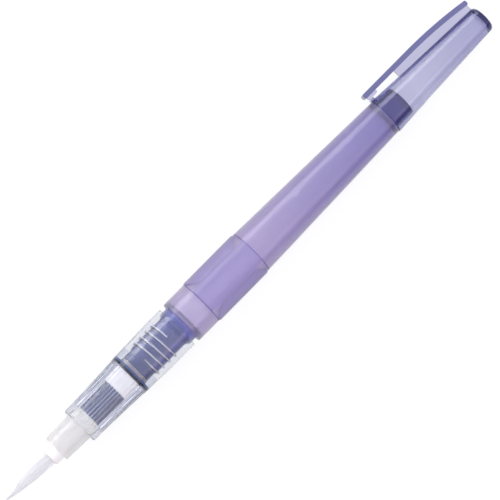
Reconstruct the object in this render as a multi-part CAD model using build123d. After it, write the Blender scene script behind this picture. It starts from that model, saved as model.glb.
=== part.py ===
from build123d import *

# A water brush pen with its cap posted on the tail, in millimetres.
#
# The pen lies along X: the brush points to -X and the cap sits on the +X end. The origin is on
# the pen's axis, at the middle of the barrel's plain front band. The clip stands out to +Y, and
# the two panels of the barrel face up and down (+Z and -Z).
#
# The stations along the axis are stacked outwards from the origin, so a change of one length
# moves everything beyond it.

import os

# ------------------------------------------------------------ driving lengths along the axis
BAND_LENGTH = 7.2  # plain round band at the front of the barrel
PANEL_LENGTH = 18.3  # stretch with the two side pads and the two panels
TAPER_LENGTH = 49.1  # plain tapered tail of the barrel
SPIGOT_LENGTH = 6.0  # thin tail end that the posted cap sits on
CAP_LENGTH = 36.3
NECK_SHOWN = 1.5  # bare neck between the screw collar and the barrel's shoulder
COLLAR_LENGTH = 16.2
FLANGE_RIM = 0.6  # rim of the feed flange, clamped between the screw collar and the grip
GRIP_LENGTH = 18.6
FERRULE_SHOWN = 8.2
HOLDER_SHOWN = 2.7
TUFT_SHOWN = 15.65
COMB_LENGTH = 9.5
PAD_LENGTH = 5.05
TUFT_ROOT = 6.0  # bound root of the tuft inside its holder
FLANGE_BOSS = 0.6  # boss of the feed flange inside the grip's bore
SEAL_ROOM = 1.2  # from the flange to the tip of the neck
NECK_TIP_LENGTH = 2.8  # plain tip of the neck in front of its thread
CLIP_WEB_START = 9.9  # from the cap's rim
CLIP_STRAIGHT = 16.0  # from the cap's rim to where the clip starts to bend

# ------------------------------------------------------------ driving radii
BAND_R = 6.4
PANEL_R = 6.14
SIDE_PAD_R = 6.62
TAPER_R = 6.36
TAIL_R = 5.05
SPIGOT_R = 4.25
NECK_R = 4.5  # neck between the turns of its thread
NECK_TIP_R = 4.2
NECK_BASE_R = 5.25
NECK_BORE_R = 3.2
COLLAR_R = 6.27
RIM_R = 5.98  # flange rim, and the two parts where they meet it
GRIP_MIDDLE_R = 5.56
GRIP_FRONT_R = 5.32
FERRULE_BACK_R = 4.1
FERRULE_FRONT_R = 3.81
FERRULE_WALL = 0.36
HOLDER_LIP_R = 2.9
TUFT_R = 2.2
GRIP_BORE_R = 3.85
COMB_R = 3.3
CAP_MOUTH_R = 5.33
CAP_JOG_R = 4.78
CAP_END_R = 3.72

# ------------------------------------------------------------ side pads, panels and clip
PAD_EDGE_Y = 3.9  # inner edge of each side pad
FLAT_Z = 6.58  # flat along the top of each panel, which the pen lies on
FLAT_HALF_WIDTH = 1.7
CROWN_R = 2.3  # rounding of each panel from its flat down to the side pads
MARK_HEIGHT = 0.12
CLIP_TOP_Y = 8.05
CLIP_ROOT_Y = 6.5
CLIP_THICK = 1.4
CLIP_WIDTH = 3.6
WEB_THICK = 1.24

# ------------------------------------------------------------ walls, fits and the thread
WALL = 1.0
SLIP = 0.04  # radial clearance where one part slides on another
GAP = 0.1  # free space beside a part that turns or leaves
PITCH = 2.04
TURNS = 4
NECK_CREST_R = 5.15
COLLAR_CREST_R = 4.66
COLLAR_ROOT_R = 5.3
COLLAR_MOUTH_R = 5.42
PIPE_R = 1.15
WICK_R = 0.9

# ------------------------------------------------------------ stations along X
SHOULDER = -BAND_LENGTH / 2
PANEL_START = BAND_LENGTH / 2
PANEL_END = PANEL_START + PANEL_LENGTH
TAIL_STEP = PANEL_END + TAPER_LENGTH
SPIGOT_END = TAIL_STEP + SPIGOT_LENGTH
CAP_RIM = TAIL_STEP + 0.05
CAP_END = CAP_RIM + CAP_LENGTH
COLLAR_BACK = SHOULDER - NECK_SHOWN
COLLAR_FRONT = COLLAR_BACK - COLLAR_LENGTH
GRIP_BACK = COLLAR_FRONT - FLANGE_RIM
GRIP_FRONT = GRIP_BACK - GRIP_LENGTH
FERRULE_FRONT = GRIP_FRONT - FERRULE_SHOWN
HOLDER_FRONT = FERRULE_FRONT - HOLDER_SHOWN
TUFT_TIP = HOLDER_FRONT - TUFT_SHOWN
PAD_BACK = GRIP_BACK - FLANGE_BOSS
PAD_FRONT = PAD_BACK - PAD_LENGTH
COMB_FRONT = PAD_FRONT - COMB_LENGTH
TUFT_BACK = HOLDER_FRONT + TUFT_ROOT
NECK_TIP = COLLAR_FRONT + SEAL_ROOM
STOPPER_SEAT = NECK_TIP + NECK_TIP_LENGTH
THREAD_START = STOPPER_SEAT + GAP
THREAD_END = THREAD_START + TURNS * PITCH


# ------------------------------------------------------------ helpers
def turned(*outline):
    """A solid turned about the pen's axis from a closed outline of (x, radius) points."""
    return revolve(make_face(Polyline(*outline, close=True)), axis=Axis.X)


def tube(start, end, outer, inner=0.0):
    """A plain tube along the axis, or a plain rod when it has no inner radius."""
    return turned((start, inner), (start, outer), (end, outer), (end, inner))


def rounded(part, station, radius, rounding):
    """The part with the circular edges at one station and one radius rounded."""
    rims = [
        edge
        for edge in part.edges().filter_by(GeomType.CIRCLE)
        if abs(edge.arc_center.X - station) < 0.01 and abs(edge.radius - radius) < 0.01
    ]
    return fillet(rims, rounding)


def radial_bars(count, width, inner, outer, start, end):
    """Straight bars set around the axis, each one pointing outwards."""
    bars = Sketch() + PolarLocations((inner + outer) / 2, count) * Rectangle(outer - inner, width)
    return extrude(Plane.YZ.offset(start) * bars, end - start)


def thread_ridge(start, foot_r, crest_r, foot_width, crest_width):
    """One right-handed thread ridge about the axis, from its foot in the wall to its crest."""
    path = Helix(PITCH, TURNS * PITCH, foot_r, center=(start, 0, 0), direction=(1, 0, 0))
    origin = path @ 0
    outward = Vector(0, origin.Y, origin.Z).normalized()
    towards_crest = outward if crest_r > foot_r else -outward
    height = abs(crest_r - foot_r)
    profile = Polyline(
        (0, -foot_width / 2),
        (height, -crest_width / 2),
        (height, crest_width / 2),
        (0, foot_width / 2),
        close=True,
    )
    section = Plane(origin=origin, x_dir=towards_crest, z_dir=path % 0)
    return sweep(section * make_face(profile), path=path, is_frenet=True)


# ------------------------------------------------------------ head: brush, ferrule and grip
def brush_tuft():
    """The bristles as one pointed body, with the bound root that sits in the holder."""
    tip_r = 0.12
    swell = Bezier(
        (TUFT_TIP, tip_r),
        (TUFT_TIP + 0.25 * TUFT_SHOWN, 0.52 * TUFT_R),
        (TUFT_TIP + 0.6 * TUFT_SHOWN, TUFT_R),
        (HOLDER_FRONT, TUFT_R),
    )
    sides = Polyline(
        (HOLDER_FRONT, TUFT_R),
        (TUFT_BACK, TUFT_R),
        (TUFT_BACK, 0),
        (TUFT_TIP, 0),
        (TUFT_TIP, tip_r),
    )
    return revolve(make_face(swell + sides), axis=Axis.X)


def tuft_holder():
    """The plug that holds the tuft: a slim lip outside the ferrule, a full body inside it."""
    body_front_r = FERRULE_FRONT_R - FERRULE_WALL
    body_back_r = FERRULE_BACK_R - FERRULE_WALL
    plug = turned(
        (HOLDER_FRONT, TUFT_R),
        (HOLDER_FRONT, HOLDER_LIP_R),
        (FERRULE_FRONT, HOLDER_LIP_R),
        (FERRULE_FRONT, body_front_r),
        (COMB_FRONT, body_back_r),
        (COMB_FRONT, WICK_R),
        (TUFT_BACK, WICK_R),
        (TUFT_BACK, TUFT_R),
    )
    return rounded(plug, HOLDER_FRONT, HOLDER_LIP_R, 0.45)


def ferrule():
    """The clear tube around the holder. Its back end is pushed into the grip."""
    sleeve = turned(
        (FERRULE_FRONT, FERRULE_FRONT_R - FERRULE_WALL),
        (FERRULE_FRONT, FERRULE_FRONT_R),
        (GRIP_FRONT, FERRULE_BACK_R),
        (COMB_FRONT, FERRULE_BACK_R),
        (COMB_FRONT, FERRULE_BACK_R - FERRULE_WALL),
    )
    return rounded(sleeve, FERRULE_FRONT, FERRULE_FRONT_R, 0.15)


def grip_nose():
    """The clear grip, with thirty fine ribs along it and a stepped bore."""
    swell = ThreePointArc(
        (GRIP_FRONT, GRIP_FRONT_R),
        ((GRIP_FRONT + GRIP_BACK) / 2, GRIP_MIDDLE_R),
        (GRIP_BACK, RIM_R),
    )
    bore = Polyline(
        (GRIP_BACK, RIM_R),
        (GRIP_BACK, GRIP_BORE_R),
        (COMB_FRONT, GRIP_BORE_R),
        (COMB_FRONT, FERRULE_BACK_R),
        (GRIP_FRONT, FERRULE_BACK_R),
        (GRIP_FRONT, GRIP_FRONT_R),
    )
    shell = revolve(make_face(swell + bore), axis=Axis.X)
    shell = rounded(shell, GRIP_FRONT, GRIP_FRONT_R, 0.5)
    rib_start = GRIP_FRONT + 2.2
    rib_end = GRIP_BACK - 1.0
    groove_count = 30
    groove_width = 0.62
    groove_depth = 0.19
    outer = RIM_R + 1
    groove_band = turned(
        (rib_start, GRIP_FRONT_R - groove_depth),
        (rib_start, outer),
        (rib_end, outer),
        (rib_end, RIM_R - groove_depth - 0.08),
        ((rib_start + rib_end) / 2, GRIP_MIDDLE_R - groove_depth),
    )
    inner = GRIP_FRONT_R - 0.72
    return shell - (groove_band & radial_bars(groove_count, groove_width, inner, outer, rib_start, rib_end))


def feed_comb():
    """The finned insert that buffers the water between pad and tuft."""
    core_r = 2.9
    fin_foot_r = 2.5
    fins = radial_bars(24, 0.5, fin_foot_r, COMB_R, COMB_FRONT, PAD_FRONT)
    core = tube(COMB_FRONT, PAD_FRONT, core_r, WICK_R)
    return core + (fins & tube(COMB_FRONT, PAD_FRONT, COMB_R, fin_foot_r))


def wick_rod():
    """The fibre rod through the comb, from the root of the tuft to the pad."""
    return tube(TUFT_BACK, PAD_FRONT, WICK_R)


def wick_pad():
    """The felt plug that fills the grip's bore behind the comb."""
    return tube(PAD_FRONT, PAD_BACK, GRIP_BORE_R)


def feed_flange():
    """The thin disc clamped between grip and collar, with its pipe into the barrel's neck."""
    pipe_end = NECK_TIP + 8.1
    hole_r = 0.5
    return turned(
        (PAD_BACK, hole_r),
        (PAD_BACK, GRIP_BORE_R),
        (GRIP_BACK, GRIP_BORE_R),
        (GRIP_BACK, RIM_R),
        (COLLAR_FRONT, RIM_R),
        (COLLAR_FRONT, PIPE_R),
        (pipe_end, PIPE_R),
        (pipe_end, hole_r),
    )


def screw_collar():
    """The clear collar that screws onto the neck."""
    thread_wall = THREAD_START - PITCH / 2
    tip_room_r = NECK_TIP_R + 0.25
    mouth_depth = COLLAR_BACK - THREAD_END - 0.4
    straight = 7.6
    shell = turned(
        (COLLAR_FRONT, tip_room_r),
        (COLLAR_FRONT, RIM_R),
        (COLLAR_BACK - straight, COLLAR_R),
        (COLLAR_BACK, COLLAR_R),
        (COLLAR_BACK, COLLAR_MOUTH_R),
        (COLLAR_BACK - mouth_depth, COLLAR_MOUTH_R),
        (COLLAR_BACK - mouth_depth, COLLAR_ROOT_R),
        (thread_wall, COLLAR_ROOT_R),
        (thread_wall, tip_room_r),
    )
    shell = rounded(shell, COLLAR_BACK, COLLAR_R, 0.25)
    foot_r = COLLAR_ROOT_R + 0.1
    ridge = thread_ridge(thread_wall, foot_r, COLLAR_CREST_R, 0.85, 0.35)
    return shell + (ridge & tube(thread_wall - 0.2, THREAD_END, foot_r, COLLAR_CREST_R))


def seal_ring():
    """The washer between the flange and the tip of the neck."""
    ring = tube(COLLAR_FRONT + GAP, NECK_TIP - GAP, NECK_TIP_R + GAP, PIPE_R + GAP)
    return rounded(ring, NECK_TIP - GAP, NECK_TIP_R + GAP, 0.3)


# ------------------------------------------------------------ barrel and what is in its neck
def side_pads():
    """The two raised pads on the barrel's sides. Their ends curve out to the round."""
    foot_r = PANEL_R - 0.3
    beyond = 8
    ring = turned(
        (PANEL_START + 0.1, foot_r),
        (PANEL_START + 0.1, BAND_R),
        (PANEL_START + 0.4, SIDE_PAD_R),
        (PANEL_END - 1.0, SIDE_PAD_R),
        (PANEL_END - 0.1, TAPER_R),
        (PANEL_END - 0.1, foot_r),
    )
    plan = make_face(
        Polyline(
            (PANEL_START, beyond),
            (PANEL_START, BAND_R),
            (PANEL_START + 2.6, PAD_EDGE_Y),
            (PANEL_END - 2.9, PAD_EDGE_Y),
            (PANEL_END, TAPER_R),
            (PANEL_END, beyond),
            close=True,
        )
    )
    corners = plan.vertices().group_by(Axis.Y)[0]
    pad = extrude(fillet(corners, 2.4), beyond, both=True) & ring
    return pad + mirror(pad, about=Plane.XZ)


def crown(extra=0.0):
    """The upper panel's skin: a flat along its top, rounded down to the pads on both sides."""
    top = FLAT_Z + extra
    edge_r = CROWN_R + extra
    section = RectangleRounded(2 * (FLAT_HALF_WIDTH + edge_r), 2 * top, edge_r)
    section &= Pos(0, top / 2) * Rectangle(2 * top, top)
    solid = extrude(Plane.YZ.offset(PANEL_START) * section, PANEL_LENGTH)
    return solid - tube(PANEL_START - 1, PANEL_END + 1, PANEL_R - 0.3)


def raised_marks():
    """A blank name plate and a water drop on the upper panel, and a plain scale on the taper."""
    reach = 8
    line = 0.3
    plate_at = Pos(PANEL_START + 6.6, 0)
    plate = RectangleRounded(9.0, 4.4, 1.0) - RectangleRounded(9.0 - 2 * line, 4.4 - 2 * line, 1.0 - line)
    bulb_at = PANEL_START + 15.2
    tip_at = bulb_at - 3.4
    drop = make_hull((Pos(bulb_at, 0) * Circle(1.7)).edges() + (Pos(tip_at, 0) * Circle(0.2)).edges())
    panel_marks = extrude(plate_at * plate + (drop - offset(drop, -line)), reach)
    tick_count = 10
    tick_step = 4.0
    first_tick = PANEL_END + 6.1
    ticks = [Pos(first_tick + tick_step * index, 0) * Rectangle(0.5, 3.0) for index in range(tick_count)]
    scale = extrude(Sketch() + ticks, reach)
    taper_skin = turned(
        (PANEL_END, TAPER_R - 0.3),
        (PANEL_END, TAPER_R + MARK_HEIGHT),
        (TAIL_STEP, TAIL_R + MARK_HEIGHT),
        (TAIL_STEP, TAIL_R - 0.3),
    )
    return (panel_marks & crown(MARK_HEIGHT)) + (scale & taper_skin)


def barrel():
    """The squeeze barrel in one moulding: threaded neck, round band, pads, taper and tail."""
    tip_bore_r = NECK_TIP_R - 0.62
    wall_r = PANEL_R - WALL - 0.1
    body = turned(
        (NECK_TIP, tip_bore_r),
        (NECK_TIP, NECK_TIP_R),
        (STOPPER_SEAT, NECK_TIP_R),
        (STOPPER_SEAT, NECK_R),
        (SHOULDER - 3.2, NECK_R),
        (SHOULDER - 2.2, NECK_BASE_R),
        (SHOULDER, NECK_BASE_R),
        (SHOULDER, BAND_R),
        (PANEL_START, BAND_R),
        (PANEL_START, PANEL_R),
        (PANEL_END, PANEL_R),
        (PANEL_END, TAPER_R),
        (TAIL_STEP, TAIL_R),
        (TAIL_STEP, SPIGOT_R),
        (SPIGOT_END, SPIGOT_R),
        (SPIGOT_END, 0),
        (SPIGOT_END - WALL, 0),
        (SPIGOT_END - WALL, SPIGOT_R - WALL),
        (TAIL_STEP - 0.5, SPIGOT_R - WALL),
        (TAIL_STEP - 1.5, TAIL_R - WALL),
        (PANEL_END, wall_r),
        (SHOULDER + WALL + 0.5, wall_r),
        (SHOULDER + WALL, wall_r - 0.5),
        (SHOULDER + WALL, NECK_BORE_R),
        (STOPPER_SEAT, NECK_BORE_R),
        (STOPPER_SEAT, tip_bore_r),
    )
    body = rounded(body, SHOULDER, BAND_R, 0.35)
    body = rounded(body, SPIGOT_END, SPIGOT_R, 0.8)
    foot_r = NECK_R - 0.1
    ridge = thread_ridge(THREAD_START, foot_r, NECK_CREST_R, 0.95, 0.4)
    thread = ridge & tube(THREAD_START - 0.05, THREAD_END + 0.2, NECK_CREST_R, foot_r)
    lower_crown = mirror(crown(), about=Plane.XY)
    return body + thread + side_pads() + crown() + lower_crown + raised_marks()


def neck_stopper():
    """The plug in the neck: a head pressed into the tip and a hollow stem behind it."""
    head_r = NECK_TIP_R - 0.62
    stem_r = 2.3
    stem_end = SHOULDER - 0.4
    pipe_bore_end = NECK_TIP + 9.0
    hole_r = 0.6
    return turned(
        (NECK_TIP, PIPE_R + GAP),
        (NECK_TIP, head_r),
        (STOPPER_SEAT, head_r),
        (STOPPER_SEAT, stem_r),
        (stem_end, stem_r),
        (stem_end, hole_r),
        (pipe_bore_end, hole_r),
        (pipe_bore_end, PIPE_R + GAP),
    )


# ------------------------------------------------------------ cap with its clip
def clip_bar():
    """The clip's wide bar: straight from its free end, then bent in towards its root."""
    free_end = CAP_RIM - 0.75
    bend = CAP_RIM + CLIP_STRAIGHT
    root = CAP_END - 0.6
    middle = (bend + root) / 2
    outer = [(bend, CLIP_TOP_Y), (middle, CLIP_TOP_Y - 0.39), (root, CLIP_ROOT_Y)]
    inner = [(x, y - CLIP_THICK) for x, y in outer]
    inner_free_end = (free_end, CLIP_TOP_Y - CLIP_THICK)
    outline = [
        Line((free_end, CLIP_TOP_Y), outer[0]),
        ThreePointArc(*outer),
        Line(outer[-1], inner[-1]),
        ThreePointArc(*inner),
        Line(inner[0], inner_free_end),
        Line(inner_free_end, (free_end, CLIP_TOP_Y)),
    ]
    bar = extrude(make_face(Curve() + outline), CLIP_WIDTH / 2, both=True)
    across = bar.edges().filter_by(Axis.Z).group_by(Axis.X)
    return fillet(across[0] + across[-1], 0.45)


def clip():
    """The clip: its bar, the thin web that carries it, and the nub at its free end."""
    bend = CAP_RIM + CLIP_STRAIGHT
    root = CAP_END - 0.9
    inside_bar = 0.6
    foot = CAP_END_R - 0.5
    web_plan = Polyline(
        (CAP_RIM + CLIP_WEB_START, foot),
        (CAP_RIM + CLIP_WEB_START, CLIP_TOP_Y - inside_bar),
        (bend, CLIP_TOP_Y - inside_bar),
        ((bend + root) / 2, CLIP_TOP_Y - 0.39 - inside_bar),
        (root, CLIP_ROOT_Y - inside_bar),
        (root, foot),
        close=True,
    )
    web = extrude(make_face(web_plan), WEB_THICK / 2, both=True)
    nub_low = 5.85
    nub_height = CLIP_TOP_Y - inside_bar - nub_low
    nub_plan = Pos(CAP_RIM + 1.55, nub_low + nub_height / 2) * Rectangle(3.1, nub_height)
    nub = extrude(fillet(nub_plan.vertices().group_by(Axis.Y)[0], 0.4), WEB_THICK / 2, both=True)
    return clip_bar() + web + nub


def cap():
    """The cap in one moulding with its clip. Its mouth slides on the barrel's tail."""
    jog = CAP_RIM + 9.6
    outside = turned(
        (CAP_RIM, 0),
        (CAP_RIM, CAP_MOUTH_R),
        (jog, CAP_JOG_R + 0.05),
        (jog + 0.5, CAP_JOG_R - 0.04),
        (CAP_END, CAP_END_R),
        (CAP_END, 0),
    )
    outside = rounded(outside, CAP_END, CAP_END_R, 1.1)
    rest = Pos(CAP_RIM + 0.62, CAP_MOUTH_R + 0.13, 0) * Box(1.24, 0.67, 2.4)
    land_end = SPIGOT_END + 0.6
    blind_end = CAP_END - 1.3
    blind_r = CAP_END_R - 0.9
    inside = turned(
        (CAP_RIM, 0),
        (CAP_RIM, SPIGOT_R + SLIP),
        (land_end, SPIGOT_R + SLIP),
        (blind_end, blind_r),
        (blind_end, 0),
    )
    inside = rounded(inside, blind_end, blind_r, 0.9)
    return outside + clip() + rest - inside


PARTS = {
    "brush_tuft": brush_tuft,
    "tuft_holder": tuft_holder,
    "ferrule": ferrule,
    "grip_nose": grip_nose,
    "feed_comb": feed_comb,
    "wick_rod": wick_rod,
    "wick_pad": wick_pad,
    "feed_flange": feed_flange,
    "screw_collar": screw_collar,
    "seal_ring": seal_ring,
    "barrel": barrel,
    "neck_stopper": neck_stopper,
    "cap": cap,
}

os.makedirs("parts", exist_ok=True)
for name, make in PARTS.items():
    solid = make()
    print(f"{name}: {solid.volume:.1f} mm3, {len(solid.solids())} solid, valid {solid.is_valid}")
    export_step(solid, f"parts/{name}.step")
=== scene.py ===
"""Looks of a water brush pen with its cap posted on the tail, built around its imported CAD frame.

The pen lies along X: the brush points to -X, the cap sits at +X and the clip stands out to +Y.
Sizes are written in millimetres and turned to metres where a mesh or a material is made.
"""

import logging
import math
import random
from dataclasses import dataclass
from enum import Enum

import bmesh
import bpy
from mathutils import Matrix, Vector


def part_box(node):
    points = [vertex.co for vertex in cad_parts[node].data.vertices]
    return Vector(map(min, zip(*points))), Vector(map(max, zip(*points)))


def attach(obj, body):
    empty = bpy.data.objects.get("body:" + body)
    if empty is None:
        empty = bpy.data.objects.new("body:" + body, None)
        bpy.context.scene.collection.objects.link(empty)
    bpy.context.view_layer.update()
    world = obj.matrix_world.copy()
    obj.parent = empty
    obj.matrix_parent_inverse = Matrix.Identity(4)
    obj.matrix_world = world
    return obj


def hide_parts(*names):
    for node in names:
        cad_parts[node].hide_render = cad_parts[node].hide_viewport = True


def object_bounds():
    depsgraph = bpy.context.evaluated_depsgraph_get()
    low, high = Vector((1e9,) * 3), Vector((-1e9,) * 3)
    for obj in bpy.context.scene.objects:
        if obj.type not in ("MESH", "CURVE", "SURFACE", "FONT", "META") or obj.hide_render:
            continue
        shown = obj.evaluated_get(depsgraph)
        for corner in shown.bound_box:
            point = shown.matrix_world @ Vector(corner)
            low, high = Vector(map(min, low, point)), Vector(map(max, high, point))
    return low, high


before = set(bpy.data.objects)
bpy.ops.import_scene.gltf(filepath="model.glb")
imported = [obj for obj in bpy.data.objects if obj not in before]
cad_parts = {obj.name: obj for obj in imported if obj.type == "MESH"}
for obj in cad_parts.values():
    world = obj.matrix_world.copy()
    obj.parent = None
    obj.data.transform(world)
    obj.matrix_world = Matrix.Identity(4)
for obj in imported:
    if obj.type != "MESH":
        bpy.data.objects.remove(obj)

CAD_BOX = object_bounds()
MM = 0.001
LOG = logging.getLogger("brush_pen")

Colour = tuple[float, float, float, float]
Outline = list[tuple[float, float]]


class Body(Enum):
    """The bodies of the pen that move on their own."""

    BARREL = "barrel"
    SEAL = "seal"
    HEAD = "head"
    CAP = "cap"


class Slot(Enum):
    """Names of two of the record's material slots. Nothing in the script uses them."""

    BRISTLE = "bristle"
    FELT = "felt"


# ------------------------------------------------------------------ colours, nodes and meshes
def linear(colour: str) -> Colour:
    """Turns an sRGB hex colour into the linear values that shaders take.

    Args:
        colour: Six hex digits, such as "b9aedd".

    Returns:
        Linear red, green and blue, and an alpha of one.
    """
    values = [int(colour[i : i + 2], 16) / 255 for i in (0, 2, 4)]
    red, green, blue = (v / 12.92 if v <= 0.04045 else ((v + 0.055) / 1.055) ** 2.4 for v in values)
    return (red, green, blue, 1.0)


def add_node(
    tree: bpy.types.NodeTree,
    kind: str,
    settings: dict[str, object] | None = None,
    inputs: dict[str | int, object] | None = None,
) -> bpy.types.Node:
    """Adds a node with its settings, input values and links.

    Args:
        tree: The node tree that gets the node.
        kind: The node's type, such as "ShaderNodeTexNoise".
        settings: Properties of the node itself.
        inputs: Values by the input's name or number. An output socket is linked.

    Returns:
        The new node.
    """
    node = tree.nodes.new(kind)
    for name, value in (settings or {}).items():
        setattr(node, name, value)
    for name, value in (inputs or {}).items():
        if isinstance(value, bpy.types.NodeSocket):
            tree.links.new(value, node.inputs[name])
        else:
            node.inputs[name].default_value = value
    return node


def fill_ramp(node: bpy.types.Node, stops: list[tuple[float, Colour]]) -> None:
    """Sets a colour ramp's stops.

    Args:
        node: The ramp.
        stops: Place and linear colour of each stop, from the lowest.
    """
    elements = node.color_ramp.elements
    while len(elements) < len(stops):
        elements.new(1.0)
    for element, (place, colour) in zip(elements, stops):
        element.position = place
        element.color = colour


def add_absorption(tree: bpy.types.NodeTree, tint: str, depth_mm: float) -> bpy.types.Node:
    """Adds a volume that takes on a tint over a depth of plastic.

    Args:
        tree: The material's node tree.
        tint: The sRGB hex colour of white light that has come through.
        depth_mm: How much plastic it came through, in millimetres.

    Returns:
        The volume node.
    """
    losses = [-math.log(value) / (depth_mm * MM) for value in linear(tint)[:3]]
    density = max(losses) * 1.02
    colour = (*(1 - loss / density for loss in losses), 1.0)
    return add_node(tree, "ShaderNodeVolumeAbsorption", inputs={"Color": colour, "Density": density})


def new_material(
    name: str,
) -> tuple[bpy.types.Material, bpy.types.NodeTree, bpy.types.NodeSocket]:
    """Starts a material with an empty node tree.

    Args:
        name: The material's name.

    Returns:
        The material, its tree, and each point's place in the pen's frame, in metres.
    """
    material = bpy.data.materials.new(name)
    material.use_nodes = True
    tree = material.node_tree
    tree.nodes.clear()
    place = add_node(tree, "ShaderNodeTexCoord").outputs["Object"]
    return material, tree, place


def add_axis_distance(tree: bpy.types.NodeTree, axes: bpy.types.Node) -> bpy.types.NodeSocket:
    """Measures how far each point is from the pen's axis.

    Args:
        tree: The material's node tree.
        axes: The node that splits the point's place into X, Y and Z.

    Returns:
        The distance in metres.
    """
    across = add_node(
        tree,
        "ShaderNodeCombineXYZ",
        inputs={"Y": axes.outputs["Y"], "Z": axes.outputs["Z"]},
    )
    length = add_node(tree, "ShaderNodeVectorMath", {"operation": "LENGTH"}, {0: across.outputs[0]})
    return length.outputs["Value"]


def new_object(name: str, mesh: bpy.types.Mesh) -> bpy.types.Object:
    """Puts a mesh in the scene as an object.

    Args:
        name: The object's name.
        mesh: Its mesh, in metres and in the pen's frame.

    Returns:
        The new object.
    """
    piece = bpy.data.objects.new(name, mesh)
    bpy.context.scene.collection.objects.link(piece)
    return piece


def dress(node: str, material: bpy.types.Material) -> None:
    """Gives one carried-over CAD node its finish.

    Args:
        node: The node's name.
        material: The finish.
    """
    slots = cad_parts[node].data.materials
    slots.clear()
    slots.append(material)
    LOG.info("%s: CAD mesh in %s", node, material.name)


# ------------------------------------------------------------------ finishes
@dataclass(frozen=True)
class ClearPlastic:
    """Clear or tinted moulded plastic, whose colour deepens where light runs far inside it.

    A polished mould leaves a glossy skin with a very long, faint waviness, which bends the
    edges of reflections a little. Thin walls look pale and edges look dark.
    """

    name: str
    tint: str
    depth_mm: float
    roughness: float = 0.03
    ior: float = 1.5
    wave_mm: float = 6.0
    wave_height_mm: float = 0.004

    def build(self) -> bpy.types.Material:
        """Makes the material.

        Returns:
            A glass-like surface with an absorbing volume behind it.
        """
        material, tree, place = new_material(self.name)
        wave = add_node(
            tree,
            "ShaderNodeTexNoise",
            inputs={"Vector": place, "Scale": 1 / (self.wave_mm * MM), "Detail": 1.0},
        )
        bump = add_node(
            tree,
            "ShaderNodeBump",
            inputs={"Height": wave.outputs["Fac"], "Distance": self.wave_height_mm * MM},
        )
        shader = add_node(
            tree,
            "ShaderNodeBsdfPrincipled",
            inputs={
                "Base Color": (1.0, 1.0, 1.0, 1.0),
                "Roughness": self.roughness,
                "IOR": self.ior,
                "Transmission Weight": 1.0,
                "Normal": bump.outputs["Normal"],
            },
        )
        volume = add_absorption(tree, self.tint, self.depth_mm)
        add_node(
            tree,
            "ShaderNodeOutputMaterial",
            inputs={"Surface": shader.outputs["BSDF"], "Volume": volume.outputs["Volume"]},
        )
        return material


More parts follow.
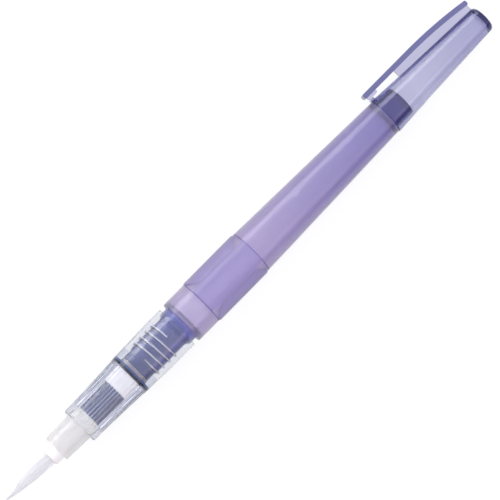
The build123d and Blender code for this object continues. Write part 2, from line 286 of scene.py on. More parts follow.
@dataclass(frozen=True)
class SqueezePlastic:
    """Soft translucent polyethylene, blow-moulded, in lavender.

    It is milky: part of the light passes and part spreads inside, so the colour stays even and
    soft. The thick threaded neck and the tail are deeper and bluer. The skin is satin with a
    fine grain, and the two side pads are a little rougher, so that they grip. Painted shade
    darkens thin lines at the steps at the panel's ends, and painted glints whiten the thread's
    crests.

    Attributes:
        painted_step_shade_mm: How wide the painted shade line at the step at each end of the panel
            is.
        pad_edge_mm: How far inside the pads' outermost radius their tone starts and is full.
        crest_edge_mm: The same for the painted glints on the crests of the thread.
        thread_gap_mm: How far in front of the shoulder the painted glints on the thread's crests end.
        flow_stretch: How slowly the streaks change along the pen, beside across it.
        flow_shade: How much lighter or darker a streak gets.
    """

    name: str
    neck: str
    band: str
    panel: str
    middle: str
    tail: str
    spigot: str
    pad: str
    # Painted glint: a near-white tone on the thread's crests.
    painted_crest_glint: str
    # Painted shade: a dark tone in thin lines at the steps at the panel's ends.
    painted_step_shade: str
    tint: str
    depth_mm: float
    see_through: float = 0.88
    painted_glint_see_through: float = 0.2
    roughness: float = 0.3
    pad_roughness: float = 0.5
    coat: float = 0.3
    coat_roughness: float = 0.12
    ior: float = 1.5
    painted_step_shade_mm: float = 0.24
    pad_edge_mm: tuple[float, float] = (0.12, 0.04)
    crest_edge_mm: tuple[float, float] = (0.3, 0.1)
    thread_gap_mm: float = 3.0
    grain_mm: float = 0.3
    grain_height_mm: float = 0.004
    flow_mm: float = 2.5
    flow_stretch: float = 0.15
    flow_shade: float = 0.06

    def tone_along(
        self,
        tree: bpy.types.NodeTree,
        place: bpy.types.NodeSocket,
        axes: bpy.types.Node,
        stations: "BarrelStations",
    ) -> bpy.types.NodeSocket:
        """Makes the colour that changes along the barrel, with faint streaks of its flow.

        Args:
            tree: The material's node tree.
            place: Each point's place in the pen's frame.
            axes: The node that splits the place into X, Y and Z.
            stations: The places along the barrel where its colour changes.

        Returns:
            The colour.
        """
        along = add_node(
            tree,
            "ShaderNodeMapRange",
            inputs={
                "Value": axes.outputs["X"],
                "From Min": stations.start * MM,
                "From Max": stations.end * MM,
            },
        )
        ramp = add_node(tree, "ShaderNodeValToRGB", inputs={"Fac": along.outputs["Result"]})
        places = [
            (stations.start, self.neck),
            (stations.shoulder - 0.4, self.neck),
            (stations.shoulder + 0.6, self.band),
            (stations.panel + 1.0, self.panel),
            (stations.taper - 1.0, self.panel),
            (stations.taper, self.middle),
            (stations.step - 0.4, self.tail),
            (stations.step + 0.4, self.spigot),
            (stations.end, self.spigot),
        ]
        length = stations.end - stations.start
        fill_ramp(ramp, [((x - stations.start) / length, linear(tone)) for x, tone in places])
        flow = add_node(
            tree,
            "ShaderNodeMapping",
            inputs={"Vector": place, "Scale": (self.flow_stretch, 1.0, 1.0)},
        )
        streaks = add_node(
            tree,
            "ShaderNodeTexNoise",
            inputs={"Vector": flow.outputs[0], "Scale": 1 / (self.flow_mm * MM), "Detail": 3.0},
        )
        mottle = add_node(
            tree,
            "ShaderNodeMapRange",
            inputs={
                "Value": streaks.outputs["Fac"],
                "To Min": 1 - self.flow_shade,
                "To Max": 1 + self.flow_shade,
            },
        )
        toned = add_node(
            tree,
            "ShaderNodeVectorMath",
            {"operation": "SCALE"},
            {0: ramp.outputs["Color"], "Scale": mottle.outputs["Result"]},
        )
        return toned.outputs[0]

    def masks(
        self,
        tree: bpy.types.NodeTree,
        axes: bpy.types.Node,
        stations: "BarrelStations",
    ) -> tuple[bpy.types.NodeSocket, bpy.types.NodeSocket, bpy.types.NodeSocket]:
        """Finds the side pads, the painted shade lines at the panel's ends and the painted glints on
        the thread's crests.

        Args:
            tree: The material's node tree.
            axes: The node that splits each point's place into X, Y and Z.
            stations: The places and radii of the three.

        Returns:
            A mask for each: one on it and zero elsewhere.
        """
        radius = add_axis_distance(tree, axes)
        pad, painted_crest_glint = (
            add_node(
                tree,
                "ShaderNodeMapRange",
                inputs={
                    "Value": radius,
                    "From Min": (outermost - edge[0]) * MM,
                    "From Max": (outermost - edge[1]) * MM,
                },
            ).outputs["Result"]
            for outermost, edge in (
                (stations.pad_r, self.pad_edge_mm),
                (stations.crest_r, self.crest_edge_mm),
            )
        )
        # Painted shade: thin lines at the steps at both ends of the panel.
        front_painted_shade, back_painted_shade = (
            add_node(
                tree,
                "ShaderNodeMath",
                {"operation": "COMPARE"},
                {0: axes.outputs["X"], 1: painted_step_shade * MM, 2: self.painted_step_shade_mm * MM / 2},
            )
            for painted_step_shade in (stations.panel, stations.taper)
        )
        painted_step_shades = add_node(
            tree,
            "ShaderNodeMath",
            {"operation": "ADD"},
            {0: front_painted_shade.outputs[0], 1: back_painted_shade.outputs[0]},
        )
        # Painted glint: only the crests more than thread_gap_mm in front of the shoulder get it.
        in_front = add_node(
            tree,
            "ShaderNodeMath",
            {"operation": "LESS_THAN"},
            {0: axes.outputs["X"], 1: (stations.shoulder - self.thread_gap_mm) * MM},
        )
        painted_glint_mask = add_node(
            tree, "ShaderNodeMath", {"operation": "MULTIPLY"}, {0: painted_crest_glint, 1: in_front.outputs[0]}
        )
        return pad, painted_step_shades.outputs[0], painted_glint_mask.outputs[0]

    def build(self, stations: "BarrelStations") -> bpy.types.Material:
        """Makes the material.

        Args:
            stations: The places along the barrel where its colour changes.

        Returns:
            A half-clear, half-milky surface.
        """
        material, tree, place = new_material(self.name)
        axes = add_node(tree, "ShaderNodeSeparateXYZ", inputs={0: place})
        colour = self.tone_along(tree, place, axes, stations)
        pad, painted_step_shades, painted_glint_mask = self.masks(tree, axes, stations)
        # The pads take their own tone. The painted shade lines and the painted crest glints are mixed
        # in as colour.
        for mask, tone in ((pad, self.pad), (painted_step_shades, self.painted_step_shade), (painted_glint_mask, self.painted_crest_glint)):
            colour = add_node(
                tree,
                "ShaderNodeMix",
                {"data_type": "RGBA"},
                {"Factor": mask, 6: colour, 7: linear(tone)},
            ).outputs[2]
        # The crests let less light through, so that their painted glint reads pale.
        clearness, gloss = (
            add_node(
                tree,
                "ShaderNodeMapRange",
                inputs={"Value": mask, "To Min": plain, "To Max": masked},
            )
            for mask, plain, masked in (
                (painted_glint_mask, self.see_through, self.painted_glint_see_through),
                (pad, self.roughness, self.pad_roughness),
            )
        )
        grain = add_node(
            tree,
            "ShaderNodeTexNoise",
            inputs={"Vector": place, "Scale": 1 / (self.grain_mm * MM), "Detail": 2.0},
        )
        bump = add_node(
            tree,
            "ShaderNodeBump",
            inputs={"Height": grain.outputs["Fac"], "Distance": self.grain_height_mm * MM},
        )
        shader = add_node(
            tree,
            "ShaderNodeBsdfPrincipled",
            inputs={
                "Base Color": colour,
                "Roughness": gloss.outputs["Result"],
                "IOR": self.ior,
                "Transmission Weight": clearness.outputs["Result"],
                "Coat Weight": self.coat,
                "Coat Roughness": self.coat_roughness,
                "Normal": bump.outputs["Normal"],
            },
        )
        volume = add_absorption(tree, self.tint, self.depth_mm)
        add_node(
            tree,
            "ShaderNodeOutputMaterial",
            inputs={"Surface": shader.outputs["BSDF"], "Volume": volume.outputs["Volume"]},
        )
        return material


@dataclass(frozen=True)
class SolidPlastic:
    """Opaque or barely see-through moulded plastic with a fine grain from its mould.

    Painted light deep in its grooves, closer to the axis than groove_r_mm, is a pale tone that
    stands for the light that gathers in them. The painted glow, an emission, stands for light
    that white plastic passes on inside itself.

    Attributes:
        groove_edge_mm: Over how much of the radius the grooves' painted light gives way to the plain
            tone.
        grain_shades: The darkest and the lightest share of the tone in the grain.
    """

    name: str
    tone: str
    roughness: float
    see_through: float = 0.0
    groove_painted_light: str | None = None
    groove_r_mm: float = 0.0
    groove_edge_mm: float = 0.25
    glow: float = 0.0
    grain_mm: float = 0.25
    grain_height_mm: float = 0.006
    grain_shades: tuple[float, float] = (0.93, 1.05)
    ior: float = 1.5

    def paint_groove_light(
        self,
        tree: bpy.types.NodeTree,
        place: bpy.types.NodeSocket,
        colour: bpy.types.NodeSocket,
    ) -> bpy.types.NodeSocket:
        """Paints pale light into the grooves.

        Args:
            tree: The material's node tree.
            place: Each point's place in the pen's frame.
            colour: The colour outside the grooves.

        Returns:
            The colour of both.
        """
        axes = add_node(tree, "ShaderNodeSeparateXYZ", inputs={0: place})
        outer = add_node(
            tree,
            "ShaderNodeMapRange",
            inputs={
                "Value": add_axis_distance(tree, axes),
                "From Min": self.groove_r_mm * MM,
                "From Max": (self.groove_r_mm + self.groove_edge_mm) * MM,
            },
        )
        return add_node(
            tree,
            "ShaderNodeMix",
            {"data_type": "RGBA"},
            {"Factor": outer.outputs["Result"], 6: linear(self.groove_painted_light), 7: colour},
        ).outputs[2]

    def painted_glow_along(
        self, tree: bpy.types.NodeTree, place: bpy.types.NodeSocket, painted_glow_steps: Outline
    ) -> bpy.types.NodeSocket:
        """Makes a painted glow, an emission, that changes along the piece.

        Args:
            tree: The material's node tree.
            place: Each point's place in the pen's frame.
            painted_glow_steps: Points of (x in millimetres, share of the painted glow).

        Returns:
            The painted glow.
        """
        start, end = painted_glow_steps[0][0], painted_glow_steps[-1][0]
        axes = add_node(tree, "ShaderNodeSeparateXYZ", inputs={0: place})
        along = add_node(
            tree,
            "ShaderNodeMapRange",
            inputs={"Value": axes.outputs["X"], "From Min": start * MM, "From Max": end * MM},
        )
        ramp = add_node(tree, "ShaderNodeValToRGB", inputs={"Fac": along.outputs["Result"]})
        shares = [((x - start) / (end - start), share * self.glow) for x, share in painted_glow_steps]
        fill_ramp(ramp, [(x_share, (glow, glow, glow, 1.0)) for x_share, glow in shares])
        return ramp.outputs["Color"]

    def build(self, painted_glow_steps: Outline | None = None) -> bpy.types.Material:
        """Makes the material.

        Args:
            painted_glow_steps: Points of (x in millimetres, share of the painted glow) for a piece
                that is only
            partly inside clear ones. Without them the whole piece has the full painted glow.

        Returns:
            A moulded surface, toned by its grain and by the painted light in its grooves.
        """
        material, tree, place = new_material(self.name)
        grain = add_node(
            tree,
            "ShaderNodeTexNoise",
            inputs={"Vector": place, "Scale": 1 / (self.grain_mm * MM), "Detail": 3.0},
        )
        shade = add_node(
            tree,
            "ShaderNodeMapRange",
            inputs={
                "Value": grain.outputs["Fac"],
                "To Min": self.grain_shades[0],
                "To Max": self.grain_shades[1],
            },
        )
        colour = add_node(
            tree,
            "ShaderNodeVectorMath",
            {"operation": "SCALE"},
            {0: linear(self.tone)[:3], "Scale": shade.outputs["Result"]},
        ).outputs[0]
        # Painted light: a pale tone deep in the grooves stands for the light that gathers there.
        if self.groove_painted_light:
            colour = self.paint_groove_light(tree, place, colour)
        bump = add_node(
            tree,
            "ShaderNodeBump",
            inputs={"Height": grain.outputs["Fac"], "Distance": self.grain_height_mm * MM},
        )
        shader = add_node(
            tree,
            "ShaderNodeBsdfPrincipled",
            inputs={
                "Base Color": colour,
                "Roughness": self.roughness,
                "IOR": self.ior,
                "Transmission Weight": self.see_through,
                # Painted glow: the plastic gives off its own tone as light, though it is no lamp.
                "Emission Color": linear(self.tone),
                "Emission Strength": self.glow,
                "Normal": bump.outputs["Normal"],
            },
        )
        if painted_glow_steps:
            glow = self.painted_glow_along(tree, place, painted_glow_steps)
            tree.links.new(glow, shader.inputs["Emission Strength"])
        add_node(tree, "ShaderNodeOutputMaterial", inputs={"Surface": shader.outputs["BSDF"]})
        return material


@dataclass(frozen=True)
class Fibre:
    """White synthetic fibre: drawn bristles, or bonded felt.

    Fine threads run along the pen. Painted shade streaks the surface with pale greys, for their
    sides catching light one by one, and it has no gloss of its own beyond a soft sheen. A faint
    painted glow, an emission, stands for the light that passes from thread to thread.

    Attributes:
        thread_mm: How thick a thread looks.
        stretch: How many times longer than thick it looks.
        shades_at: Where in the noise the painted shade ends and the full tone starts.
    """

    name: str
    tone: str
    painted_shadow: str
    thread_mm: float
    stretch: float
    relief_mm: float
    roughness: float = 0.6
    sheen: float = 0.2
    glow: float = 0.0
    shades_at: tuple[float, float] = (0.3, 0.6)

    def build(self) -> bpy.types.Material:
        """Makes the material.

        Returns:
            A soft white surface, streaked with painted shade.
        """
        material, tree, place = new_material(self.name)
        drawn = add_node(
            tree,
            "ShaderNodeMapping",
            inputs={"Vector": place, "Scale": (1 / self.stretch, 1.0, 1.0)},
        )
        threads = add_node(
            tree,
            "ShaderNodeTexNoise",
            inputs={"Vector": drawn.outputs[0], "Scale": 1 / (self.thread_mm * MM), "Detail": 4.0},
        )
        # Painted shade: the ramp's darker stop streaks the threads as if their sides turned from the
        # light.
        ramp = add_node(tree, "ShaderNodeValToRGB", inputs={"Fac": threads.outputs["Fac"]})
        fill_ramp(ramp, list(zip(self.shades_at, (linear(self.painted_shadow), linear(self.tone)))))
        bump = add_node(
            tree,
            "ShaderNodeBump",
            inputs={"Height": threads.outputs["Fac"], "Distance": self.relief_mm * MM},
        )
        shader = add_node(
            tree,
            "ShaderNodeBsdfPrincipled",
            inputs={
                "Base Color": ramp.outputs["Color"],
                "Roughness": self.roughness,
                "Sheen Weight": self.sheen,
                # Painted glow: the streaked colour is given off as light, though the fibre is no
                # lamp.
                "Emission Color": ramp.outputs["Color"],
                "Emission Strength": self.glow,
                "Normal": bump.outputs["Normal"],
            },
        )
        add_node(tree, "ShaderNodeOutputMaterial", inputs={"Surface": shader.outputs["BSDF"]})
        return material


# General-purpose clear polystyrene, moulded in polished steel: nearly colourless walls with
# cool grey edges.
CLEAR_POLYSTYRENE = ClearPlastic("clear_polystyrene_moulded", "e3e5ec", 2.0)
# Tinted polystyrene, polished mould: pale violet over two thin walls, indigo along its edges.
TINTED_POLYSTYRENE = ClearPlastic("tinted_polystyrene_moulded", "9c9cc3", 2.1)
# Low-density polyethylene, blow-moulded: milky lavender with a satin skin, painted shade lines at the
# panel's ends and painted glints on the thread's crests.
LAVENDER_POLYETHYLENE = SqueezePlastic(
    "lavender_polyethylene_moulded",
    neck="bccffe",
    band="f6f4fc",
    panel="ffffff",
    middle="efebf7",
    tail="c2c0e4",
    spigot="b1b1e4",
    pad="e6e4fc",
    painted_crest_glint="fbfaff",
    painted_step_shade="9a91cb",
    tint="cbbde2",
    depth_mm=2.2,
)
# Blue-grey ABS, moulded: dark and satin, with painted light, a white tone, in the channels between
# its fins.
SMOKE_ABS = SolidPlastic(
    "smoke_abs_moulded", "70769f", 0.3, groove_painted_light="ffffff", groove_r_mm=3.0
)
# The same ABS without channels.
DARK_ABS = SolidPlastic("dark_abs_moulded", "3d4c74", 0.3)
# Blue tinted ABS for the stopper: it lets a little light through from the reservoir.
BLUE_ABS = SolidPlastic("blue_abs_moulded", "7088dc", 0.35, see_through=0.3)
# Acetal, moulded: clean white, slightly waxy, with a painted glow, an emission that stands for light
# it passes on inside itself.
WHITE_ACETAL = SolidPlastic("white_acetal_moulded", "eae8e5", 0.38, glow=0.72)
# Silicone, moulded: soft, pale and matt.
PALE_SILICONE = SolidPlastic("pale_silicone_moulded", "e6dde6", 0.6, see_through=0.2)
# Polyamide bristles, drawn: 0.12 mm threads, a little coarser than real ones so that they show,
# with painted shade streaks and a faint painted glow.
WHITE_BRISTLE = Fibre("white_polyamide_drawn", "fdfdfb", "e3e3e6", 0.12, 30.0, 0.02, glow=0.06)
# Polyester felt, heat-bonded: short threads that mostly run along the plug, with painted shade
# streaks and a strong painted glow.
WHITE_FELT = Fibre("white_polyester_bonded", "fdfaf4", "d8d6d6", 0.2, 6.0, 0.05, glow=0.6)


# ------------------------------------------------------------------ studio
@dataclass(frozen=True)
class SoftPanel:
    """A flat soft light that faces the pen.

    Attributes:
        name: The light's name.
        lean: Its angle from straight above, towards the clip's side.
        size: Its length along the pen and its height, in metres.
        radiance: How bright it looks, where the white floor is about one.
        colour: Its sRGB hex colour.
    """

    name: str
    lean: float
    size: tuple[float, float]
    radiance: float
    colour: str


WINDOW_PANEL = SoftPanel("window_panel", math.radians(66), (1.4, 0.33), 3.5, "ffffff")
BOUNCE_CARD = SoftPanel("bounce_card", math.radians(-52), (1.4, 0.2), 1.1, "ffe0ee")


@dataclass
class Studio:
    """A plain pale floor under a plain soft light, and the camera above it.

    Attributes:
        frame_mm: How much of the pen's plane the camera takes in, edge to edge.
        aim_mm: The point of the pen's plane that the camera looks at.
        tilt: How far the camera leans from straight above, towards the brush.
        roll: How far the pen's axis is turned up from the picture's lower edge.
        distance: How far the camera is from that point, in metres.
        floor_size: The floor's width, in metres.
        floor_gap_mm: The free space between the floor and the pen's lowest point.
        panel_distance: How far the lights are from the pen's axis, in metres.
        sky_edge: The heights where the sky is as dim as the horizon and as bright as the zenith.
    """

    frame_mm: float = 127.5
    aim_mm: tuple[float, float] = (22.06, 0.61)
    tilt: float = math.radians(6.0)
    roll: float = math.radians(45.32)
    distance: float = 1.0
    sensor_mm: float = 36.0
    near_clip: float = 0.01
    floor_size: float = 3.0
    floor_gap_mm: float = 0.02
    floor_tone: str = "707070"
    floor_roughness: float = 0.9
    floor_glow: float = 0.84
    panel_distance: float = 0.67
    panels: tuple[SoftPanel, ...] = (WINDOW_PANEL, BOUNCE_CARD)
    sky_tone: str = "f3f3ff"
    sky_edge: tuple[float, float] = (0.1, 0.85)
    zenith: float = 1.5
    horizon: float = 0.12

    def build(self) -> None:
        """Makes the camera, the floor, the sky and the lights."""
        self.camera()
        self.floor()
        self.sky_light()
        for panel in self.panels:
            self.add_panel(panel)
        bpy.context.scene.view_settings.view_transform = "Standard"

    def camera(self) -> None:
        """Places the camera over the pen and frames it."""
        along = Vector((math.cos(self.tilt), 0, math.sin(self.tilt)))
        across = Vector((0, 1, 0))
        towards = Vector((-math.sin(self.tilt), 0, math.cos(self.tilt)))
        right = math.cos(self.roll) * along - math.sin(self.roll) * across
        above = math.sin(self.roll) * along + math.cos(self.roll) * across
        lens = bpy.data.cameras.new("camera")
        lens.sensor_width = self.sensor_mm
        lens.lens = lens.sensor_width * self.distance / (self.frame_mm * MM)
        lens.clip_start = self.near_clip
        eye = bpy.data.objects.new("camera", lens)
        bpy.context.scene.collection.objects.link(eye)
        aim = Vector((self.aim_mm[0], self.aim_mm[1], 0)) * MM
        matrix = Matrix((right, above, towards)).transposed().to_4x4()
        matrix.translation = aim + towards * self.distance
        eye.matrix_world = matrix
        bpy.context.scene.camera = eye

    def floor(self) -> None:
        """Lays a pale, faintly glowing floor just under the pen."""
        low = CAD_BOX[0][2] - self.floor_gap_mm * MM
        half = self.floor_size / 2
        mesh = bpy.data.meshes.new("floor")
        corners = [(-half, -half, low), (half, -half, low), (half, half, low), (-half, half, low)]
        mesh.from_pydata(corners, [], [(0, 1, 2, 3)])
        floor = new_object("floor", mesh)
        material = bpy.data.materials.new("white_paper_matt")
        material.use_nodes = True
        shader = material.node_tree.nodes["Principled BSDF"]
        values = {
            "Base Color": linear(self.floor_tone),
            "Roughness": self.floor_roughness,
            "Emission Color": linear("ffffff"),
            "Emission Strength": self.floor_glow,
        }
        for name, value in values.items():
            shader.inputs[name].default_value = value
        mesh.materials.append(material)

    def sky_light(self) -> None:
        """Surrounds the pen with a cool white that is bright overhead and dim at the horizon."""
        world = bpy.data.worlds.new("soft_sky")
        world.use_nodes = True
        tree = world.node_tree
        background = tree.nodes["Background"]
        background.inputs["Color"].default_value = linear(self.sky_tone)
        direction = add_node(tree, "ShaderNodeTexCoord").outputs["Generated"]
        height = add_node(tree, "ShaderNodeSeparateXYZ", inputs={0: direction}).outputs["Z"]
        strength = add_node(
            tree,
            "ShaderNodeMapRange",
            {"interpolation_type": "SMOOTHSTEP"},
            {
                "Value": height,
                "From Min": self.sky_edge[0],
                "From Max": self.sky_edge[1],
                "To Min": self.horizon,
                "To Max": self.zenith,
            },
        )
        tree.links.new(strength.outputs["Result"], background.inputs["Strength"])
        bpy.context.scene.world = world

    def add_panel(self, panel: SoftPanel) -> None:
        """Adds one soft light, turned to the pen.

        Args:
            panel: The light.
        """
        light = bpy.data.lights.new(panel.name, "AREA")
        light.shape = "RECTANGLE"
        light.size, light.size_y = panel.size
        light.energy = panel.radiance * math.pi * panel.size[0] * panel.size[1]
        light.color = linear(panel.colour)[:3]
        lamp = bpy.data.objects.new(panel.name, light)
        bpy.context.scene.collection.objects.link(lamp)
        outward = Vector((0, math.sin(panel.lean), math.cos(panel.lean)))
        side = Vector((1, 0, 0))
        matrix = Matrix((side, outward.cross(side), outward)).transposed().to_4x4()
        matrix.translation = outward * self.panel_distance + Vector((self.aim_mm[0] * MM, 0, 0))
        lamp.matrix_world = matrix


# ------------------------------------------------------------------ the pen
@dataclass
class BrushHead:
    """The brush: a pointed tuft of bristles in its white holder.

    Attributes:
        strands: How many bristles the tuft shows.
        strand_r: A bristle's radius at its root, in mm.
        steps: How many pieces a bristle bends in.
        tip_r: The radius in mm that the bristles' tips gather in.
        tip_swell: The outline's second control point, as shares of the length and the radius.
        belly: Where along the tuft its full radius is reached, as a share of the length.
        lip_inset: How far the tuft's root stands inside the holder, in mm.
        slices: How many steps the outline is worked out in.
        tip_scatter: How unevenly the bristles end, as a share of the length.
        outer_lag: How much shorter the outer bristles are, from rank outer_rank outwards.
        sway: How far a bristle's tip, and its root, wander round the axis, in radians.
        strand_tip: A bristle's thickness at its tip, as a share of its root.
        strand_growth: How fast it thickens from there.
        core_share: The radius of the solid middle, as a share of the outline.
        core_start: Where the middle starts behind the tip, as a share of the length.
        ferrule_painted_glow: The share of its painted glow that the white holder has inside the
            ferrule.
    """

    strands: int = 900
    strand_r: float = 0.055
    steps: int = 12
    tip_r: float = 0.12
    tip_swell: tuple[float, float] = (0.25, 0.52)
    belly: float = 0.6
    lip_inset: float = 1.5
    slices: int = 60
    tip_scatter: float = 0.05
    outer_lag: float = 0.22
    outer_rank: float = 0.55
    sway: tuple[float, float] = (0.12, 0.05)
    strand_tip: float = 0.25
    strand_growth: float = 1.1
    core_share: float = 0.82
    core_start: float = 0.04
    core_rings: int = 24
    core_points: int = 32
    ferrule_painted_glow: float = 0.42
    seed: int = 7

    def __post_init__(self) -> None:
        """Takes the tuft's length and radius from its CAD node, in millimetres."""
        low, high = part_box("brush_tuft")
        self.tip = low[0] / MM
        self.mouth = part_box("tuft_holder")[0][0] / MM
        self.radius = high[2] / MM
        self.free = self.mouth - self.tip
        self.length = self.free + self.lip_inset
        self.radii = [
            self.swell(min(1.0, (index / self.slices) * self.length / self.free))
            for index in range(self.slices + 1)
        ]

    def swell(self, share: float) -> float:
        """The tuft's radius in mm at a share of its free length, from zero at the tip."""
        places = [0.0, self.tip_swell[0] * self.free, self.belly * self.free, self.free]
        radii = [self.tip_r, self.tip_swell[1] * self.radius, self.radius, self.radius]
        low, high = 0.0, 1.0
        for _ in range(24):
            middle = (low + high) / 2
            if bezier(places, middle) < share * self.free:
                low = middle
            else:
                high = middle
        return bezier(radii, low)

    def outline(self, share: float) -> float:
        """The tuft's radius in mm at a share of its whole length."""
        return self.radii[round(share * self.slices)]

    def add_strand(
        self, mesh: bmesh.types.BMesh, rank: float, angle: float, start: float, wander: float
    ) -> None:
        """Adds one three-sided, tapered bristle.

        Args:
            mesh: The mesh that gets it.
            rank: How far out it stands, from zero on the axis to one on the outline.
            angle: Where round the axis its root stands, in radians.
            start: Where its tip is, as a share of the tuft's length.
            wander: How far its tip is turned round the axis, in radians.
        """
        rings = []
        for step in range(self.steps + 1):
            share = start + (1 - start) * step / self.steps
            grown = min(1.0, self.strand_tip + self.strand_growth * step / self.steps)
            thick = self.strand_r * grown
            reach = max(0.0, rank * (self.outline(share) - thick))
            turn = angle + wander * (1 - share)
            centre = Vector(
                (self.tip + share * self.length, reach * math.cos(turn), reach * math.sin(turn))
            )
            corners = (turn + 2 * math.pi * corner / 3 for corner in range(3))
            rings.append(
                [
                    mesh.verts.new((centre + thick * Vector((0, math.cos(a), math.sin(a)))) * MM)
                    for a in corners
                ]
            )
        join_loops(mesh, rings)

    def bristles(self) -> bpy.types.Object:
        """Builds the tuft from single tapered bristles around a solid middle.

        Returns:
            The tuft.
        """
        draw = random.Random(self.seed)
        mesh = bmesh.new()
        golden = math.pi * (3 - math.sqrt(5))
        tip_sway, place_sway = self.sway
        for index in range(self.strands):
            rank = math.sqrt((index + 0.5) / self.strands)
            angle = index * golden + draw.uniform(-place_sway, place_sway)
            lag = draw.uniform(0.0, self.tip_scatter)
            start = lag + self.outer_lag * max(0.0, rank - self.outer_rank) * draw.random()
            self.add_strand(mesh, rank, angle, start, draw.uniform(-tip_sway, tip_sway))
        core = [
            (self.tip + share * self.length, self.core_share * self.outline(share))
            for share in spread(self.core_start, 1.0, self.core_rings)
        ]
        add_turned(mesh, core, self.core_points)
        return finished("tuft_bristles", mesh)

    def build(self) -> None:
        """Makes the tuft and dresses the holder."""
        tuft = self.bristles()
        tuft.data.materials.append(WHITE_BRISTLE.build())
        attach(tuft, Body.HEAD.value)
        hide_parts("brush_tuft")
        LOG.info("tuft_bristles: %d bristles", self.strands)
        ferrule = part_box("ferrule")[0][0] / MM
        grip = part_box("grip_nose")[0][0] / MM
        # The holder's painted glow: none on its lip in front of the ferrule, a share inside the
        # ferrule, all of it behind the grip's front.
        painted_glow_steps = [
            (ferrule - 0.1, 0.0),
            (ferrule + 0.1, self.ferrule_painted_glow),
            (grip, self.ferrule_painted_glow),
            (grip + 0.5, 1.0),
        ]
        dress("tuft_holder", WHITE_ACETAL.build(painted_glow_steps))


@dataclass
class Feed:
    """What carries the water: the finned comb, the felt rod and plug, and the thin flange.

    Attributes:
        fuzz_mm: How deep the felt's skin is dented.
        line_share: How much of a dent runs along the plug as a line. The rest is spots.
        ease_mm: How far the rims are eased, if that is less than ease_share of the radius.
    """

    fuzz_mm: float = 0.035
    line_share: float = 0.6
    ease_mm: float = 0.25
    ease_share: float = 0.3
    ring_points: int = 96
    seed: int = 11

    def fibre_plug(self, name: str, node: str, rings: int) -> bpy.types.Object:
        """Builds a plug of bonded fibre with a soft, uneven skin and eased rims.

        Args:
            name: The piece's name.
            node: The CAD node whose place and size it takes.
            rings: How many rings of points it has along its length.

        Returns:
            The plug.
        """
        low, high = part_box(node)
        radius = high[2] / MM
        start, end = low[0] / MM, high[0] / MM
        ease = min(self.ease_mm, self.ease_share * radius)
        draw = random.Random(self.seed)
        offsets = [draw.uniform(-1, 1) for _ in range(self.ring_points)]
        mesh = bmesh.new()
        places = [start, *spread(start + ease, end - ease, rings), end]
        loops = []
        for x in places:
            rim = radius - ease if x in (start, end) else radius
            loop = []
            for point in range(self.ring_points):
                angle = 2 * math.pi * point / self.ring_points
                spot = (1 - self.line_share) * draw.uniform(-1, 1)
                dent = self.fuzz_mm * (1 + self.line_share * offsets[point] + spot)
                reach = rim - min(dent, 2 * self.fuzz_mm)
                loop.append(
                    mesh.verts.new(Vector((x, reach * math.cos(angle), reach * math.sin(angle))) * MM)
                )
            loops.append(loop)
        join_loops(mesh, loops)
        return finished(name, mesh)

    def build(self) -> None:
        """Makes the felt pieces and dresses the moulded ones."""
        felt = WHITE_FELT.build()
        for name, node, rings in (("felt_plug", "wick_pad", 24), ("felt_rod", "wick_rod", 40)):
            piece = self.fibre_plug(name, node, rings)
            piece.data.materials.append(felt)
            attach(piece, Body.HEAD.value)
            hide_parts(node)
            LOG.info("%s: bonded fibre in place of %s", name, node)
        dress("feed_comb", SMOKE_ABS.build())
        dress("feed_flange", DARK_ABS.build())


@dataclass
class ClearFront:
    """The clear parts of the head: ferrule, ribbed grip and screw collar."""

    nodes: tuple[str, ...] = ("ferrule", "grip_nose", "screw_collar")

    def build(self) -> None:
        """Dresses the three clear parts."""
        clear = CLEAR_POLYSTYRENE.build()
        for node in self.nodes:
            dress(node, clear)


@dataclass(frozen=True)
class BarrelStations:
    """Places along the barrel, in millimetres, where its colour or its finish changes."""

    start: float
    shoulder: float
    panel: float
    taper: float
    step: float
    end: float
    pad_r: float
    crest_r: float


@dataclass
class Barrel:
    """The squeeze barrel, with the stopper and the seal in its neck.

    Attributes:
        band_length: The plain round band at the front, which the frame's origin halves, in mm.
        panel_length: The stretch with the panels and the side pads behind it.
        spigot_length: The thin end that the posted cap sits on.
        thread_crest_r: The radius of the neck's thread over its crests.
    """

    band_length: float = 7.2
    panel_length: float = 18.3
    spigot_length: float = 6.0
    thread_crest_r: float = 5.15

    def stations(self) -> BarrelStations:
        """Works out the barrel's stations from its CAD node.

        Returns:
            The stations.
        """
        low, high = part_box("barrel")
        return BarrelStations(
            start=low[0] / MM,
            shoulder=-self.band_length / 2,
            panel=self.band_length / 2,
            taper=self.band_length / 2 + self.panel_length,
            step=high[0] / MM - self.spigot_length,
            end=high[0] / MM,
            pad_r=high[1] / MM,
            crest_r=self.thread_crest_r,
        )

    def build(self) -> None:
        """Dresses the barrel, its stopper and its seal."""
        dress("barrel", LAVENDER_POLYETHYLENE.build(self.stations()))
        dress("neck_stopper", BLUE_ABS.build())
        dress("seal_ring", PALE_SILICONE.build())


@dataclass
class Cap:
    """The tinted cap with its clip, posted on the tail."""

    finish: ClearPlastic = TINTED_POLYSTYRENE

    def build(self) -> None:
        """Dresses the cap."""
        dress("cap", self.finish.build())


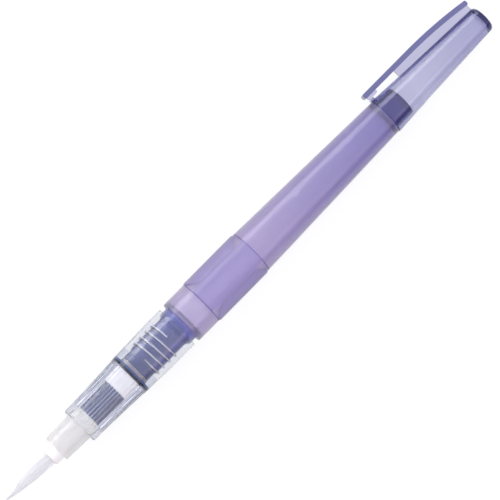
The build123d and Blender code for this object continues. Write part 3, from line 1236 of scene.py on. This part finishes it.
# ------------------------------------------------------------------ mesh helpers
def bezier(values: list[float], share: float) -> float:
    """A cubic Bezier's value.

    Args:
        values: Its four control values.
        share: How far along, from zero to one.

    Returns:
        The value there.
    """
    rest = 1 - share
    weights = (rest**3, 3 * rest**2 * share, 3 * rest * share**2, share**3)
    return sum(weight * value for weight, value in zip(weights, values))


def spread(start: float, end: float, count: int) -> list[float]:
    """Evenly spaced numbers from start to end, both included."""
    return [start + (end - start) * index / (count - 1) for index in range(count)]


def join_loops(mesh: bmesh.types.BMesh, loops: list[list[bmesh.types.BMVert]]) -> None:
    """Joins rings of points into a closed skin.

    Args:
        mesh: The mesh that the points are in.
        loops: Rings of as many points each, in order along the X axis.
    """
    count = len(loops[0])
    for low, high in zip(loops, loops[1:]):
        for point in range(count):
            after = (point + 1) % count
            mesh.faces.new((low[point], high[point], high[after], low[after]))
    mesh.faces.new(loops[0])
    mesh.faces.new(reversed(loops[-1]))


def add_turned(mesh: bmesh.types.BMesh, outline: Outline, points: int) -> None:
    """Adds a solid turned about the pen's axis.

    Args:
        mesh: The mesh that gets it.
        outline: Its (x, radius) points in millimetres, in order along X.
        points: How many points go round it.
    """
    loops = []
    for x, radius in outline:
        angles = (2 * math.pi * point / points for point in range(points))
        places = (Vector((x, radius * math.cos(a), radius * math.sin(a))) for a in angles)
        loops.append([mesh.verts.new(place * MM) for place in places])
    join_loops(mesh, loops)


def finished(name: str, mesh: bmesh.types.BMesh) -> bpy.types.Object:
    """Turns a bmesh into a smooth-shaded object with its faces outward.

    Args:
        name: The object's name.
        mesh: The mesh in the making, which is freed.

    Returns:
        The object.
    """
    bmesh.ops.recalc_face_normals(mesh, faces=mesh.faces)
    for face in mesh.faces:
        face.smooth = len(face.verts) <= 4
    data = bpy.data.meshes.new(name)
    mesh.to_mesh(data)
    mesh.free()
    return new_object(name, data)


def main() -> None:
    """Builds the studio and the pen, one sub-assembly after another."""
    logging.basicConfig(level=logging.INFO)
    Studio().build()
    for part in (BrushHead(), Feed(), ClearFront(), Barrel(), Cap()):
        LOG.info("building %s", type(part).__name__)
        part.build()


if __name__ == "__main__":
    main()
